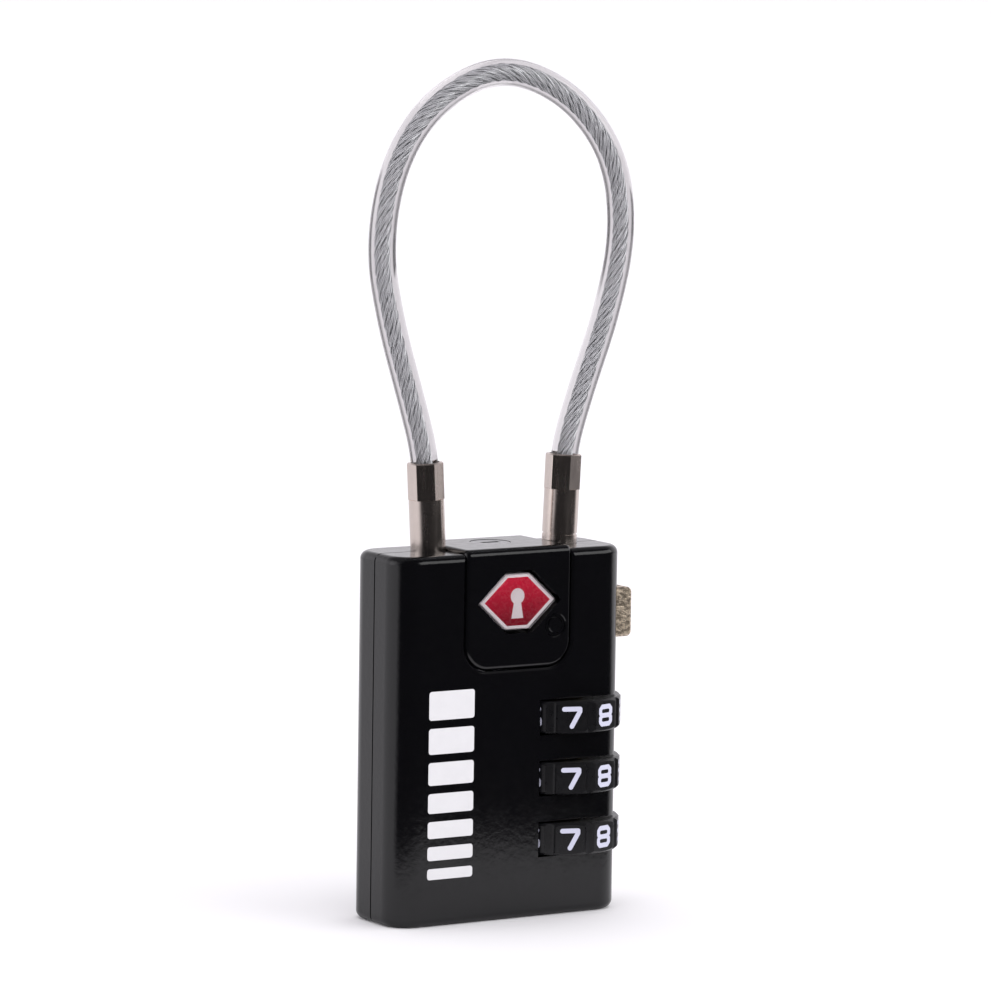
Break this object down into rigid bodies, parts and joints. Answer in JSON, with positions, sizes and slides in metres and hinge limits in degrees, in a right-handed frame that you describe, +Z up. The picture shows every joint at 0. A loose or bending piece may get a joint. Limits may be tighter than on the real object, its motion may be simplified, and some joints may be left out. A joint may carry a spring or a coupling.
{
  "type": "cable luggage lock",
  "caption": "Combination luggage lock: black metal case, number dials on one side, press button, master-key cylinder, and a jacketed steel cable loop with crimped ends.",
  "frame": {"origin": "centre of the case's bottom face", "axes": "+Z up towards the cable loop, front face with the emblem towards -Y, dials and button towards +X"},
  "size_m": [0.0374, 0.0162, 0.1043],
  "materials": {
    "black_enamel": "gloss black enamel on cast zinc, faint orange peel",
    "dial_black": "satin-gloss black moulded plastic",
    "numeral_white": "white paint fill",
    "nickel": "warm bright nickel plate",
    "cast_nickel": "nickel plate over a rough casting",
    "emblem_red": "red and white printed plate",
    "clear_lens": "clear domed resin",
    "rope_steel": "bright galvanised strands",
    "clear_jacket": "clear soft jacket",
    "raw_steel": "plain steel",
    "spring_steel": "spring wire and sheet",
    "brass": "machined"
  },
  "bodies": {
    "case": {"front_shell": "black_enamel", "back_shell": "black_enamel", "key_module": "black_enamel", "emblem_backplate": "emblem_red", "emblem_lens": "clear_lens", "locating_pins": "raw_steel", "fixed_ferrule": "nickel", "ferrule_cross_pin": "raw_steel", "detent_spring": "spring_steel", "button_spring": "spring_steel", "spindle_spring": "spring_steel", "cable_core": "rope_steel", "cable_jacket": "clear_jacket"},
    "free_end": {"free_ferrule": "nickel"},
    "button": {"release_button": "cast_nickel"},
    "latch": {"latch_plate": "raw_steel"},
    "spindle": {"dial_spindle": "brass"},
    "key": {"key_plug": "raw_steel", "key_wafers": "brass", "key_cam": "raw_steel", "plug_clip": "spring_steel"},
    "dial_1": {"number_dial_1": "dial_black", "dial_numerals_1": "numeral_white", "dial_sleeve_1": "brass"},
    "dial_2": {"number_dial_2": "dial_black", "dial_numerals_2": "numeral_white", "dial_sleeve_2": "brass"},
    "dial_3": {"number_dial_3": "dial_black", "dial_numerals_3": "numeral_white", "dial_sleeve_3": "brass"}
  },
  "joints": [
    {"name": "free_end_slide", "type": "slide", "parent": "case", "child": "free_end", "axis": [0.0436, 0, 0.999], "range_m": [0, 0.013], "deforming": ["cable_core", "cable_jacket"]},
    {"name": "button_press", "type": "slide", "parent": "case", "child": "button", "axis": [-1, 0, 0], "range_m": [0, 0.0012], "stiffness_N_per_m": 500, "springref_m": -0.002, "deforming": ["button_spring"]},
    {"name": "latch_slide", "type": "slide", "parent": "case", "child": "latch", "axis": [-1, 0, 0], "range_m": [0, 0.0012]},
    {"name": "spindle_slide", "type": "slide", "parent": "case", "child": "spindle", "axis": [0, 0, -1], "range_m": [0, 0.0012], "deforming": ["spindle_spring"]},
    {"name": "key_turn", "type": "hinge", "parent": "case", "child": "key", "pos_m": [0.0006, 0.0009, 0.0455], "axis": [0, 0, 1], "range_deg": [0, 90]},
    {"name": "dial_1_turn", "type": "hinge", "parent": "case", "child": "dial_1", "pos_m": [0.0099, 0, 0.0095], "axis": [0, 0, 1], "continuous": true},
    {"name": "dial_2_turn", "type": "hinge", "parent": "case", "child": "dial_2", "pos_m": [0.0099, 0, 0.017], "axis": [0, 0, 1], "continuous": true},
    {"name": "dial_3_turn", "type": "hinge", "parent": "case", "child": "dial_3", "pos_m": [0.0099, 0, 0.0245], "axis": [0, 0, 1], "continuous": true}
  ],
  "couplings": [
    {"joint": "latch_slide", "follows": "button_press", "ratio": 1},
    {"joint": "spindle_slide", "follows": "button_press", "ratio": 1}
  ]
}
